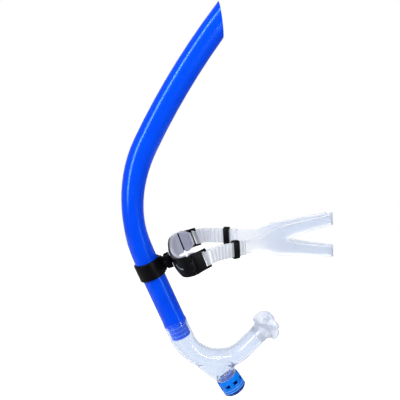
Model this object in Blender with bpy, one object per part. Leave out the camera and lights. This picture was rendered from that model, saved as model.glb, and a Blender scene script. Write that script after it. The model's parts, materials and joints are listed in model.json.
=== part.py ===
"""A front-mounted swim snorkel: bent tube, silicone elbow with purge valve, forehead bracket.

Metres, +Z up. The tube lies in the plane y = 0 and +X points at the swimmer, who faces -X,
so the swimmer's left is -Y. The origin is the point between the two bite lugs.
"""

import math

import bmesh
import bpy
from mathutils import Matrix, Vector

MM = 0.001

# Fits
fit_gap = 0.3 * MM
edge = 0.5 * MM

# Tube
tube_outer = 25.0 * MM
tube_wall = 1.6 * MM
tube_lean = math.radians(23.4)
tube_straight = 98.5 * MM
bend_radius = 143.0 * MM
bend_angle = math.radians(49.4)
bend_depth = 23.0 * MM
bend_breadth = 26.0 * MM
upper_radius = 762.0 * MM
upper_length = 149.0 * MM
upper_depth = 26.8 * MM
upper_breadth = 24.0 * MM
tip_cut = math.radians(45.0)
spigot_length = 20.0 * MM
spigot_step = 2.0 * MM
bead_height = 0.4 * MM
bead_width = 1.2 * MM
bead_pitch = 4.5 * MM
bead_count = 3

# Silicone elbow
elbow_wall = 2.0 * MM
cuff_proud = 0.6 * MM
elbow_depth = 24.0 * MM
elbow_breadth = 26.0 * MM
elbow_radius = 45.5 * MM
elbow_angle = math.radians(60.0)
mouth_radius = 38.3 * MM
mouth_angle = math.radians(51.6)
mouth_leg = 20.8 * MM
mouth_depth = 19.6 * MM
mouth_breadth = 27.0 * MM
mouth_spigot = 5.5 * MM
mouth_step = 1.4 * MM
drain_lean = math.radians(32.4)
drain_length = 24.4 * MM
chamber_root = 10.0 * MM
chamber_merge = 4.0 * MM
chamber_taper = math.radians(17.4)
chamber_back = 13.6 * MM
chamber_breadth = 26.8 * MM
neck_outer = 24.0 * MM
neck_length = 3.4 * MM
shoulder_length = 1.6 * MM

# Mouthpiece
flange_reach = 8.0 * MM
flange_thick = 2.4 * MM
flange_height = 31.0 * MM
flange_width = 54.0 * MM
flange_curl = 15.0 * MM
lug_spread = 13.0 * MM
lug_length = 16.0 * MM
lug_width = 12.0 * MM
lug_thick = 5.0 * MM
lug_ridge = 14.0 * MM
lug_ridge_length = 8.0 * MM
bite_reach = 9.0 * MM

# Purge valve
seat_depth = 7.0 * MM
seat_bore = 15.2 * MM
seat_flange = 26.0 * MM
seat_flange_thick = 2.0 * MM
seat_skirt = 2.2 * MM
skirt_wall = 1.4 * MM
spoke_width = 1.8 * MM
spoke_thick = 1.6 * MM
hub_outer = 6.0 * MM
stem_outer = 2.4 * MM
bulb_outer = 4.4 * MM
flap_travel = 1.5 * MM
flap_thick = 0.8 * MM
cap_outer = 26.6 * MM
cap_wall = 1.8 * MM
cap_length = 17.0 * MM
cap_floor = 2.0 * MM
cap_chamfer = 2.2 * MM
vent_count = 8
vent_height = 4.2 * MM
vent_width = 5.4 * MM
groove_depth = 0.35 * MM

# Collar, neck link and tilt pin
collar_height = 84.0 * MM
collar_length = 19.0 * MM
collar_wall = 1.9 * MM
pivot_reach = 18.8 * MM
tongue_thick = 6.4 * MM
tongue_radius = 3.6 * MM
tongue_root = 16.4 * MM
arm_radius = 4.1 * MM
neck_width = 14.4 * MM
neck_height = 15.0 * MM
neck_reach = 5.6 * MM
neck_chamfer = 1.2 * MM
tenon_width = 8.0 * MM
tenon_height = 6.0 * MM
pin_outer = 3.2 * MM
pin_head = 5.4 * MM
pin_head_thick = 1.2 * MM

# Forehead bracket, wings and pads
shell_thick = 2.2 * MM
front_half = 41.0 * MM
front_angle = math.radians(12.0)
corner_radius = 11.0 * MM
corner_angle = math.radians(68.0)
fold_rest = math.radians(18.0)
wing_body = 12.5 * MM
wing_angle = math.radians(10.0)
center_half_height = 7.4 * MM
fold_half_height = 11.0 * MM
bracket_pitch = math.radians(2.5)
window_start = 9.0 * MM
window_end = 48.0 * MM
window_height = 9.0 * MM
window_drop = 1.4 * MM
knuckle_outer = 4.4 * MM
fold_pin_outer = 1.6 * MM
knuckle_half = 4.2 * MM
slot_length = 4.2 * MM
slot_clear = 0.8 * MM
rail_height = 2.2 * MM
bar_outer = 2.8 * MM
boss_thick = 0.9 * MM
boss_margin = 2.0 * MM
pad_thick = 3.6 * MM
pad_overhang = 1.0 * MM
pad_brow = 1.8 * MM
pad_draw_in = 3.6 * MM
pad_swell = 2.0 * MM
pad_split = 2.5 * MM
peg_outer = 1.5 * MM
peg_spread = 7.0 * MM

# Head strap and keepers
strap_width = 15.0 * MM
strap_thick = 1.5 * MM
strap_thin = 0.55
strap_droop = math.radians(18.0)
droop_length = 14.0 * MM
strap_toe_in = math.radians(25.0)
strap_reach = 143.0 * MM
strap_run = 46.0 * MM
strap_layers = 2.0 * MM
strap_wrap_gap = 0.5 * MM
tail_length = 47.0 * MM
rib_pitch = 4.2 * MM
rim_width = 1.6 * MM
fold_radius = 6.0 * MM
web_start = 58.0 * MM
web_end = 84.0 * MM
web_half = 16.0 * MM
band_outer_half = 24.0 * MM
band_inner_half = 12.0 * MM
crotch_reach = 93.0 * MM
crotch_half = 1.4 * MM
keeper_reach = 35.0 * MM
keeper_length = 6.5 * MM
keeper_wall = 1.8 * MM
keeper_clear = 0.4 * MM

# Facets
ROUND = 28
SMALL_ROUND = 16
ACROSS = Vector((0.0, 1.0, 0.0))


def clear_scene():
    for obj in list(bpy.data.objects):
        bpy.data.objects.remove(obj, do_unlink=True)


def finish(name, colour, roughness, metallic=0.0, transmission=0.0):
    """A Principled material in the part's own colour."""
    made = bpy.data.materials.new(name)
    made.use_nodes = True
    shader = made.node_tree.nodes["Principled BSDF"]
    shader.inputs["Base Color"].default_value = (*colour, 1.0)
    shader.inputs["Roughness"].default_value = roughness
    shader.inputs["Metallic"].default_value = metallic
    shader.inputs["Transmission Weight"].default_value = transmission
    return made


def eased(low, high, share):
    """A smooth step from low to high as share goes from 0 to 1."""
    share = min(max(share, 0.0), 1.0)
    return low + (high - low) * share * share * (3.0 - 2.0 * share)


def spread(low, high, steps):
    """Evenly spaced values after low, up to and including high."""
    return [low + (high - low) * (k + 1) / steps for k in range(steps)]


def stepped(point, heading, length, turn):
    """Where a run of this length that turns through this angle ends, and its heading there."""
    chord = length if abs(turn) < 1e-9 else 2.0 * length / turn * math.sin(turn / 2.0)
    middle = heading + turn / 2.0
    return point + chord * Vector((math.cos(middle), math.sin(middle))), heading + turn


class Path:
    """Straights and arcs laid end to end in a plane; each run is a length and the angle it turns."""

    def __init__(self, start, heading, runs):
        self.runs = []
        self.length = 0.0
        point = Vector(start)
        for length, turn in runs:
            self.runs.append((self.length, point, heading, length, turn))
            self.length += length
            point, heading = stepped(point, heading, length, turn)

    def at(self, distance):
        """The point and heading at a distance from the start."""
        run = self.runs[0]
        for candidate in self.runs:
            if distance >= candidate[0]:
                run = candidate
        begin, point, heading, length, turn = run
        return stepped(point, heading, distance - begin, turn * (distance - begin) / length)


def upright(flat):
    """A point or direction of the tube's plane, in space."""
    return Vector((flat[0], 0.0, flat[1]))


def directions(heading):
    """Unit vectors along and square to a heading in the tube's plane."""
    along = upright((math.cos(heading), math.sin(heading)))
    across = upright((-math.sin(heading), math.cos(heading)))
    return along, across


def oval(centre, first, second, first_radius, second_radius, sides=ROUND):
    """A ring of points round a centre."""
    ring = []
    for k in range(sides):
        turn = 2.0 * math.pi * k / sides
        offset = first * (first_radius * math.cos(turn)) + second * (second_radius * math.sin(turn))
        ring.append(centre + offset)
    return ring


def loft(rings, closed=False, into=None):
    """Skins successive rings; a closed loft joins the last ring to the first, an open one is capped."""
    mesh = into or bmesh.new()
    loops = [[mesh.verts.new(point) for point in ring] for ring in rings]
    pairs = list(zip(loops, loops[1:]))
    if closed:
        pairs.append((loops[-1], loops[0]))
    for lower, upper in pairs:
        for k in range(len(lower)):
            following = (k + 1) % len(lower)
            mesh.faces.new((lower[k], lower[following], upper[following], upper[k]))
    if not closed:
        mesh.faces.new(list(reversed(loops[0])))
        mesh.faces.new(loops[-1])
    bmesh.ops.recalc_face_normals(mesh, faces=mesh.faces[:])
    return mesh


def turned(profile, closed=False, sides=ROUND, into=None):
    """Turns a profile of (radius, height) pairs about the local Z axis."""
    x_axis = Vector((1.0, 0.0, 0.0))
    rings = []
    for radius, height in profile:
        rings.append(oval(Vector((0.0, 0.0, height)), x_axis, ACROSS, radius, radius, sides))
    return loft(rings, closed, into)


def prism(outline, place, low, high, chamfer=0.0, into=None):
    """Runs a flat outline from low to high; place turns (first, second, third) into a point."""
    middle = sum((Vector(point) for point in outline), Vector((0.0, 0.0))) / len(outline)
    reach = max((Vector(point) - middle).length for point in outline)
    small = 1.0 - chamfer / reach
    levels = [(low, small), (low + chamfer, 1.0), (high - chamfer, 1.0), (high, small)]
    if chamfer == 0.0:
        levels = [(low, 1.0), (high, 1.0)]
    rings = []
    for level, scale in levels:
        ring = [middle + (Vector(point) - middle) * scale for point in outline]
        rings.append([place(point.x, point.y, level) for point in ring])
    return loft(rings, into=into)


def box(low, high, into=None):
    """A block between two corners."""
    outline = [(low[0], low[1]), (high[0], low[1]), (high[0], high[1]), (low[0], high[1])]
    return prism(outline, lambda x, y, z: Vector((x, y, z)), low[2], high[2], into=into)


def arc(centre, radius, start, end, steps):
    """Points of an arc in a flat outline, from one angle to another."""
    points = []
    for k in range(steps + 1):
        turn = start + (end - start) * k / steps
        points.append((centre[0] + radius * math.cos(turn), centre[1] + radius * math.sin(turn)))
    return points


def frame(name, parent, origin, x_axis=Vector((1.0, 0.0, 0.0)), z_axis=Vector((0.0, 0.0, 1.0))):
    """An empty whose axes the pieces under it are modelled in."""
    empty = bpy.data.objects.new(name, None)
    empty.empty_display_size = 10.0 * MM
    bpy.context.scene.collection.objects.link(empty)
    y_axis = z_axis.cross(x_axis)
    turn = Matrix((x_axis, y_axis, z_axis)).transposed()
    empty.location = origin
    empty.rotation_euler = turn.to_euler()
    empty.parent = parent
    return empty


def piece(name, mesh, parent, material, origin=(0.0, 0.0, 0.0)):
    """One sub-part, with smooth round faces and sharp corners."""
    data = bpy.data.meshes.new(name)
    mesh.to_mesh(data)
    mesh.free()
    data.shade_smooth()
    data.set_sharp_from_angle(angle=math.radians(35.0))
    data.materials.append(material)
    obj = bpy.data.objects.new(name, data)
    obj.location = origin
    obj.parent = parent
    bpy.context.scene.collection.objects.link(obj)
    return obj


def cut_or_join(target, mesh, operation):
    """A Boolean with a helper that stays in the file but isn't part of the object."""
    count = len(target.modifiers)
    data = bpy.data.meshes.new(f"{target.name}_helper_{count}")
    mesh.to_mesh(data)
    mesh.free()
    helper = bpy.data.objects.new(data.name, data)
    helper.location = target.location
    helper.parent = target.parent
    helper.hide_render = True
    helper.display_type = "WIRE"
    bpy.context.scene.collection.objects.link(helper)
    modifier = target.modifiers.new(f"{operation.lower()}_{count}", "BOOLEAN")
    modifier.operation = operation
    modifier.solver = "EXACT"
    modifier.object = helper


# The tube's centre line, from the lower end of the spigot upwards
tube_radius = tube_outer / 2.0
spigot_radius = tube_radius - spigot_step
bend_length = bend_radius * bend_angle
tube_path = Path(
    (0.0, 0.0),
    math.pi / 2.0 + tube_lean,
    [(tube_straight, 0.0), (bend_length, -bend_angle), (upper_length, -upper_length / upper_radius)],
)


def tube_section(distance):
    """Half depth and half breadth of the tube: round, squeezed in the bend, deeper above it."""
    tight_share = 0.32
    tight = tube_straight + tight_share * bend_length
    bend_end = tube_straight + bend_length
    if distance < tight:
        share = (distance - tube_straight) / (tight - tube_straight)
        depth = eased(tube_outer, bend_depth, share)
        breadth = eased(tube_outer, bend_breadth, share)
    else:
        share = (distance - tight) / (bend_end - tight)
        depth = eased(bend_depth, upper_depth, share)
        breadth = eased(bend_breadth, upper_breadth, share)
    return depth / 2.0, breadth / 2.0


def tube_ring(distance, half_depth, half_breadth, slant=0.0):
    """A ring square to the tube, or slid along it onto a slanted plane that faces backwards."""
    point, heading = tube_path.at(distance)
    along, across = directions(heading)
    ring = []
    for place in oval(Vector(), across, ACROSS, half_depth, half_breadth):
        slide = place.dot(across) * math.tan(slant)
        ring.append(upright(point) + place + along * slide)
    return ring


def main_tube():
    """The bent tube with its slanted top and the beaded spigot that the elbow's cuff grips."""
    bend_end = tube_straight + bend_length
    last = tube_path.length - 1.08 * upper_depth / 2.0 * math.tan(tip_cut)
    stations = [tube_straight, *spread(tube_straight, bend_end, 14), *spread(bend_end, last, 6)]
    outer = [(0.0, spigot_radius - edge), (edge, spigot_radius)]
    for k in range(bead_count):
        middle = bead_pitch * (k + 1)
        outer.append((middle - bead_width / 2.0, spigot_radius))
        outer.append((middle, spigot_radius + bead_height))
        outer.append((middle + bead_width / 2.0, spigot_radius))
    outer += [(spigot_length, spigot_radius), (spigot_length, tube_radius - edge)]
    outer.append((spigot_length + edge, tube_radius))
    rings = [tube_ring(distance, radius, radius) for distance, radius in outer]
    rings += [tube_ring(distance, *tube_section(distance)) for distance in stations]
    half_depth, half_breadth = tube_section(tube_path.length)
    rings.append(tube_ring(tube_path.length, half_depth, half_breadth, tip_cut))
    bore = [half_depth - tube_wall, half_breadth - tube_wall]
    rings.append(tube_ring(tube_path.length, *bore, tip_cut))
    for distance in reversed(stations):
        half_depth, half_breadth = tube_section(distance)
        rings.append(tube_ring(distance, half_depth - tube_wall, half_breadth - tube_wall))
    step_end = spigot_length + spigot_step + tube_wall
    rings.append(tube_ring(step_end, tube_radius - tube_wall, tube_radius - tube_wall))
    rings.append(tube_ring(spigot_length, spigot_radius - tube_wall, spigot_radius - tube_wall))
    rings.append(tube_ring(0.0, spigot_radius - tube_wall, spigot_radius - tube_wall))
    return piece("main_tube", loft(rings, closed=True), root, blue_tube)


# The elbow's centre line, from the top of the cuff down, round the U and up to the mouth
cuff_top, cuff_heading = tube_path.at(spigot_length - fit_gap)
cuff_run = spigot_length + 1.0 * MM
elbow_path = Path(
    cuff_top,
    cuff_heading + math.pi,
    [
        (cuff_run, 0.0),
        (elbow_radius * elbow_angle, elbow_angle),
        (mouth_radius * mouth_angle, mouth_angle),
        (mouth_leg + mouth_spigot, 0.0),
    ],
)
elbow_end = cuff_run + elbow_radius * elbow_angle
mouth_bend_end = elbow_end + mouth_radius * mouth_angle
leg_end = mouth_bend_end + mouth_leg
cuff_radius = tube_radius + cuff_proud
cuff_bore = spigot_radius + bead_height + fit_gap

# The drain axis leaves the U where its first arc ends
drain_root, unused_heading = elbow_path.at(elbow_end)
drain_heading = drain_lean - math.pi / 2.0
drain_along, drain_across = directions(drain_heading)
drain_end = upright(drain_root) + drain_along * drain_length
neck_bore = neck_outer / 2.0 - elbow_wall

# The mouth axis, from the shoulder of the mouth leg
mouth_point, mouth_heading = elbow_path.at(leg_end)
mouth_along, mouth_across = directions(mouth_heading)
bite_point = upright(mouth_point) + mouth_along * (flange_reach + flange_thick + bite_reach)


def elbow_section(distance):
    """Half depth and half breadth of the elbow: round cuff, oval U, flatter mouth leg."""
    settle = 0.35 * elbow_radius * elbow_angle
    if distance < elbow_end:
        share = (distance - cuff_run) / settle
        depth = eased(2.0 * cuff_radius, elbow_depth, share)
        breadth = eased(2.0 * cuff_radius, elbow_breadth, share)
    else:
        share = (distance - elbow_end) / (mouth_bend_end - elbow_end)
        depth = eased(elbow_depth, mouth_depth, share)
        breadth = eased(elbow_breadth, mouth_breadth, share)
    return depth / 2.0, breadth / 2.0


def elbow_ring(distance, inset=0.0):
    """A ring of the elbow's skin, or of its bore when inset by the wall."""
    half_depth, half_breadth = elbow_section(distance)
    return elbow_oval(distance, half_depth - inset, half_breadth - inset)


def elbow_oval(distance, half_depth, half_breadth):
    point, heading = elbow_path.at(distance)
    along, across = directions(heading)
    return oval(upright(point), across, ACROSS, half_depth, half_breadth)


def drain_ring(distance, front, back, half_breadth):
    """A ring square to the drain axis that reaches this far to its front and to its back."""
    middle = drain_across * ((back - front) / 2.0)
    centre = upright(drain_root) + drain_along * distance + middle
    return oval(centre, drain_across, ACROSS, (front + back) / 2.0, half_breadth)


def drain_rings(inset, overrun):
    """The drain chamber: its front runs on from the U's outer wall and draws in to the neck."""
    neck = neck_outer / 2.0 - inset
    breadth = chamber_breadth / 2.0 - inset
    neck_start = drain_length - neck_length
    shoulder = neck_start - shoulder_length
    rings = [drain_ring(-chamber_root, 1.2 * neck, -0.1 * neck, 0.5 * neck)]
    rows = [(-chamber_merge, 0.6, 0.84), (0.2 * shoulder, 0.93, 0.97), (0.55 * shoulder, 1.0, 1.0)]
    for distance, back_share, breadth_share in [*rows, (shoulder, 0.98, 1.0)]:
        front = neck + math.tan(chamber_taper) * (drain_length - distance)
        back = back_share * (chamber_back - inset)
        rings.append(drain_ring(distance, front, back, breadth_share * breadth))
    rings.append(drain_ring(neck_start, neck, neck, neck))
    rings.append(drain_ring(drain_length + overrun, neck, neck, neck))
    return rings


def silicone_elbow():
    """The clear moulding: cuff over the spigot, U-bend to the mouth, drain chamber below."""
    bends = [*spread(cuff_run, elbow_end, 9), *spread(elbow_end, mouth_bend_end, 8)]
    skin = [elbow_oval(0.0, cuff_radius - edge, cuff_radius - edge)]
    skin += [elbow_ring(distance) for distance in [edge, cuff_run, *bends, leg_end]]
    skin += [elbow_ring(leg_end, mouth_step), elbow_ring(elbow_path.length, mouth_step)]
    elbow = piece("silicone_elbow", loft(skin), root, clear_silicone)
    cut_or_join(elbow, loft(drain_rings(0.0, 0.0)), "UNION")
    overrun = 2.0 * MM
    bore = [elbow_oval(-overrun, cuff_bore, cuff_bore), elbow_oval(spigot_length, cuff_bore, cuff_bore)]
    bore += [elbow_ring(distance, elbow_wall) for distance in [spigot_length, cuff_run, *bends]]
    bore.append(elbow_ring(leg_end - mouth_step, elbow_wall))
    bore.append(elbow_ring(leg_end, elbow_wall + mouth_step))
    bore.append(elbow_ring(elbow_path.length + overrun, elbow_wall + mouth_step))
    cut_or_join(elbow, loft(bore), "DIFFERENCE")
    cut_or_join(elbow, loft(drain_rings(elbow_wall, overrun)), "DIFFERENCE")
    return elbow


def mouthpiece():
    """Lip flange on a sleeve over the mouth leg, with two bite lugs in front."""
    half_depth, half_breadth = elbow_section(leg_end)
    socket_bottom = mouth_spigot + fit_gap
    inset = mouth_step - fit_gap
    bore_inset = mouth_step + elbow_wall
    flange_front = flange_reach + flange_thick
    rim = flange_thick / 2.0
    high, wide = flange_height / 2.0, flange_width / 2.0
    profile = [
        (fit_gap, half_depth - inset, half_breadth - inset),
        (fit_gap, half_depth, half_breadth),
        (flange_reach - 2.0 * rim, half_depth, half_breadth),
        (flange_reach, half_depth + 2.0 * rim, half_breadth + 2.0 * rim),
        (flange_reach, high - rim, wide - rim),
        (flange_reach + rim, high, wide),
        (flange_front, high - rim, wide - rim),
        (flange_front, half_depth - inset, half_breadth - inset),
        (flange_reach, half_depth - bore_inset, half_breadth - bore_inset),
        (socket_bottom, half_depth - bore_inset, half_breadth - bore_inset),
        (socket_bottom, half_depth - inset, half_breadth - inset),
    ]
    x_axis = Vector((1.0, 0.0, 0.0))

    def curled(ring):
        return [point + Vector((0.0, 0.0, flange_curl * (point.y / wide) ** 2)) for point in ring]

    rings = []
    for height, first, second in profile:
        ring = oval(Vector((0.0, 0.0, height)), x_axis, ACROSS, first, second)
        rings.append(curled(ring) if height >= flange_reach else ring)
    made = piece("mouthpiece", loft(rings, closed=True), mouth_frame, clear_silicone)
    lugs = bmesh.new()
    for side in (-1.0, 1.0):
        root = Vector((0.0, side * lug_spread, flange_reach + rim))
        lug_rings = [curled(oval(root, x_axis, ACROSS, lug_thick / 2.0, lug_width / 2.0, SMALL_ROUND))]
        tip = flange_front + lug_length
        for height, thick, width in (
            (tip - lug_ridge_length, lug_thick, lug_width),
            (tip - 0.75 * lug_ridge_length, 0.75 * lug_ridge, lug_width),
            (tip - 0.55 * lug_ridge_length, lug_ridge, lug_width),
            (tip - 0.25 * lug_ridge_length, lug_ridge, lug_width),
            (tip - 0.07 * lug_ridge_length, 0.85 * lug_ridge, 0.9 * lug_width),
            (tip, 0.55 * lug_ridge, 0.65 * lug_width),
        ):
            centre = Vector((0.0, side * lug_spread, height))
            lug_rings.append(oval(centre, x_axis, ACROSS, thick / 2.0, width / 2.0, SMALL_ROUND))
        loft(lug_rings, into=lugs)
    cut_or_join(made, lugs, "UNION")
    return made


def purge_valve():
    """Spoked seat in the drain neck, mushroom flap under it, vented cap over both."""
    plug = neck_bore - fit_gap
    flange_top = fit_gap
    flange_bottom = flange_top + seat_flange_thick
    land = flange_bottom + 0.4 * seat_skirt
    skirt_end = flange_bottom + seat_skirt
    cap_bore = cap_outer / 2.0 - cap_wall
    skirt_outer = cap_bore - fit_gap
    seat_profile = [
        (seat_bore / 2.0, -seat_depth),
        (plug - edge, -seat_depth),
        (plug, edge - seat_depth),
        (plug, flange_top),
        (seat_flange / 2.0, flange_top),
        (seat_flange / 2.0, flange_bottom),
        (skirt_outer, flange_bottom),
        (skirt_outer, skirt_end),
        (skirt_outer - skirt_wall, skirt_end),
        (skirt_outer - skirt_wall, land),
        (seat_bore / 2.0, land),
    ]
    seat = piece("purge_seat", turned(seat_profile, closed=True), drain_frame, blue_valve)
    spoke_low = land - fit_gap
    spoke_top = spoke_low - spoke_thick
    reach = seat_bore / 2.0 + 1.0 * MM
    half = spoke_width / 2.0
    cut_or_join(seat, box((-reach, -half, spoke_top), (reach, half, spoke_low)), "UNION")
    cut_or_join(seat, box((-half, -reach, spoke_top), (half, reach, spoke_low)), "UNION")
    hub = turned([(hub_outer / 2.0, spoke_top - edge), (hub_outer / 2.0, spoke_low - edge / 2.0)])
    cut_or_join(seat, hub, "UNION")
    stem_hole = stem_outer / 2.0 + fit_gap
    hole = turned([(stem_hole, spoke_top - spoke_thick), (stem_hole, land + spoke_thick)], sides=SMALL_ROUND)
    cut_or_join(seat, hole, "DIFFERENCE")

    stem = stem_outer / 2.0
    bulb = bulb_outer / 2.0
    bulb_low = spoke_top - edge - fit_gap - flap_travel
    flap_top = land + fit_gap
    flap_radius = skirt_outer - skirt_wall - 2.0 * fit_gap
    flap_profile = [
        (0.4 * bulb, bulb_low - 1.5 * bulb),
        (bulb, bulb_low - 0.7 * bulb),
        (bulb, bulb_low - 0.2 * bulb),
        (stem, bulb_low),
        (stem, flap_top),
        (flap_radius, flap_top),
        (flap_radius, flap_top + 0.6 * flap_thick),
        (0.3 * flap_radius, flap_top + 1.4 * flap_thick),
        (0.1 * flap_radius, flap_top + 1.5 * flap_thick),
    ]
    piece("purge_flap", turned(flap_profile), drain_frame, clear_silicone)

    radius = cap_outer / 2.0
    top = flange_bottom + fit_gap
    bottom = top + cap_length
    floor = bottom - cap_floor
    groove_heights = (top + 0.55 * cap_length, bottom - cap_chamfer - 2.0 * groove_depth)
    cap_profile = [(1.0 * MM, floor), (cap_bore - edge, floor), (cap_bore, floor - edge), (cap_bore, top)]
    cap_profile += [(radius - edge, top), (radius, top + edge)]
    for height in groove_heights:
        cap_profile.append((radius, height - groove_depth))
        cap_profile.append((radius - groove_depth, height))
        cap_profile.append((radius, height + groove_depth))
    cap_profile += [(radius - cap_chamfer, bottom), (1.0 * MM, bottom)]
    cap = piece("purge_cap", turned(cap_profile), drain_frame, blue_valve)
    vents = bmesh.new()
    vent_low = skirt_end + edge
    for k in range(vent_count):
        turn = Matrix.Rotation(2.0 * math.pi * (k + 0.5) / vent_count, 4, "Z")
        before = set(vents.verts)
        low = (cap_bore - cap_wall, -vent_width / 2.0, vent_low)
        box(low, (radius + cap_wall, vent_width / 2.0, vent_low + vent_height), into=vents)
        bmesh.ops.transform(vents, matrix=turn, verts=[v for v in vents.verts if v not in before])
    cut_or_join(cap, vents, "DIFFERENCE")


def sideways(first, second, third):
    """Places a flat outline of (x, z) along Y."""
    return Vector((first, third, second))


def across_pin(radius, half):
    """A round cutter along Y, through the pivot of the local frame."""
    return prism(arc((0.0, 0.0), radius, 0.0, 2.0 * math.pi - math.pi / 8.0, 15), sideways, -half, half)


def clamp_collar():
    """The ring that grips the tube, with the tongue that the neck link straddles."""
    inner = tube_radius + fit_gap
    outer = inner + collar_wall
    half = collar_length / 2.0
    profile = [
        (inner, -half + edge),
        (inner + edge, -half),
        (outer - edge, -half),
        (outer, -half + edge),
        (outer, half - edge),
        (outer - edge, half),
        (inner + edge, half),
        (inner, half - edge),
    ]
    collar = piece("clamp_collar", turned(profile, closed=True), collar_frame, black_plastic)
    start = outer - 0.6 * collar_wall
    root_half = tongue_root / 2.0
    brow = outer + 1.0 * MM
    outline = [(brow, root_half), (start, root_half), (start, -root_half), (brow, -root_half)]
    outline += arc((pivot_reach, 0.0), tongue_radius, -math.pi / 2.0, math.pi / 2.0, 8)
    cut_or_join(collar, prism(outline, sideways, -tongue_thick / 2.0, tongue_thick / 2.0), "UNION")
    hole = across_pin(pin_outer / 2.0 + fit_gap, tongue_thick)
    hole.transform(Matrix.Translation((pivot_reach, 0.0, 0.0)))
    cut_or_join(collar, hole, "DIFFERENCE")


def neck_link():
    """The forked block between the collar's tongue and the forehead bracket."""
    half_width = neck_width / 2.0
    half_height = neck_height / 2.0
    outline = [(neck_reach, half_height), (0.0, half_height - edge)]
    outline += arc((0.0, 0.0), arm_radius, 0.75 * math.pi, 1.25 * math.pi, 6)
    outline += [(0.0, edge - half_height), (neck_reach, -half_height)]
    mesh = prism(outline, sideways, -half_width, half_width, neck_chamfer)
    link = piece("neck_link", mesh, tilt_frame, black_plastic)
    slot = tongue_thick / 2.0 + fit_gap
    slot_end = tongue_radius + 2.0 * fit_gap
    cut_or_join(link, box((-pivot_reach, -slot, -neck_height), (slot_end, slot, neck_height)), "DIFFERENCE")
    cut_or_join(link, across_pin(pin_outer / 2.0 + fit_gap, neck_width), "DIFFERENCE")
    tenon_end = neck_reach + fit_gap + shell_thick + edge
    low = (slot_end + 1.0 * MM, -tenon_width / 2.0, -tenon_height / 2.0)
    cut_or_join(link, box(low, (tenon_end, tenon_width / 2.0, tenon_height / 2.0)), "UNION")

    half_pin = half_width + fit_gap
    head = half_pin + pin_head_thick
    rings = []
    for place, radius in (
        (-head, pin_head / 2.0 - edge),
        (-head + edge, pin_head / 2.0),
        (-half_pin, pin_head / 2.0),
        (-half_pin, pin_outer / 2.0),
        (half_pin, pin_outer / 2.0),
        (half_pin, pin_head / 2.0),
        (head - edge, pin_head / 2.0),
        (head, pin_head / 2.0 - edge),
    ):
        ring = arc((0.0, 0.0), radius, 0.0, 2.0 * math.pi - math.pi / 8.0, 15)
        rings.append([sideways(x, z, place) for x, z in ring])
    piece("tilt_pin", loft(rings), tilt_frame, black_plastic)


# The bracket's shell seen from above: (y, u), with u running back from the tilt axis
apex = neck_reach + fit_gap + shell_thick / 2.0
shell_path = Path(
    (0.0, apex),
    0.0,
    [(front_half, front_angle), (corner_radius * corner_angle, corner_angle)],
)
shell_end, fold_heading = shell_path.at(shell_path.length)
knuckle_radius = knuckle_outer / 2.0
knuckle_reach = knuckle_radius + 0.5 * MM
fold_point, unused_turn = stepped(shell_end, fold_heading, knuckle_reach, 0.0)
fold_out = Vector((math.sin(fold_heading), -math.cos(fold_heading)))
fold_axis = fold_point + fold_out * (shell_thick / 2.0)
wing_heading = fold_heading + fold_rest
wing_along = Vector((math.cos(wing_heading), math.sin(wing_heading)))
wing_out = Vector((math.sin(wing_heading), -math.cos(wing_heading)))
wing_start = fold_axis - wing_out * (shell_thick / 2.0) + wing_along * knuckle_reach
wing_path = Path(
    wing_start,
    wing_heading,
    [(wing_body, wing_angle), (slot_length, 0.0)],
)
bar_half = strap_width / 2.0 + slot_clear + rail_height
bar_point, bar_heading = wing_path.at(wing_path.length)


def shell_half_height(distance):
    share = (abs(distance) - neck_width / 2.0) / (shell_path.length - neck_width / 2.0)
    return eased(center_half_height, fold_half_height, share)


def window_half_height(distance):
    share = (distance - window_start) / (window_end - window_start)
    return window_height / 2.0 * (1.0 - 0.8 * share * share)


def wing_half_height(distance):
    return eased(fold_half_height, bar_half, distance / wing_body)


def plate(
    path, stations, inner, outer, half_height, side=1.0, centre=Vector((0.0, 0.0)), into=None, lift=0.0
):
    """A curved plate that follows a plan path, between two offsets from it, with eased edges."""
    ease = min(edge, 0.25 * (outer - inner))
    rings = []
    for station in stations:
        point, heading = path.at(abs(station))
        out = Vector((math.sin(heading), -math.cos(heading)))
        mirror = side if station >= 0.0 else -side
        half = half_height(station)
        ring = []
        for offset, height in (
            (inner, ease - half),
            (inner + ease, -half),
            (outer - ease, -half),
            (outer, ease - half),
            (outer, half - ease),
            (outer - ease, half),
            (inner + ease, half),
            (inner, half - ease),
        ):
            place = point + out * offset - centre
            ring.append(Vector((place.y, place.x * mirror, height + lift)))
        rings.append(ring)
    return loft(rings, into=into)


def knuckle(heading, away, side, low, high, centre, into):
    """A hinge barrel on the fold axis with the web that joins it to the plate of this heading."""
    along = Vector((math.cos(heading), math.sin(heading))) * away
    out = Vector((math.sin(heading), -math.cos(heading)))
    outline = []
    for first, second in arc((0.0, 0.0), knuckle_radius, -2.0 * math.pi / 3.0, 2.0 * math.pi / 3.0, 10):
        outline.append(fold_axis + along * first + out * second - centre)
    grip = knuckle_reach + 1.0 * MM
    for depth in (-0.08, -0.92):
        outline.append(fold_axis - along * grip + out * (shell_thick * depth) - centre)
    flat = [(point.y, point.x * side) for point in outline]
    prism(flat, lambda u, y, v: Vector((u, y, v)), low, high, into=into)


def fold_cutter(radius, half, side, centre, into):
    """A round rod on the fold axis."""
    place = fold_axis - centre
    ring = arc((place.y, place.x * side), radius, 0.0, 2.0 * math.pi - math.pi / 6.0, 11)
    return prism(ring, lambda u, y, v: Vector((u, y, v)), -half, half, into=into)


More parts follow.
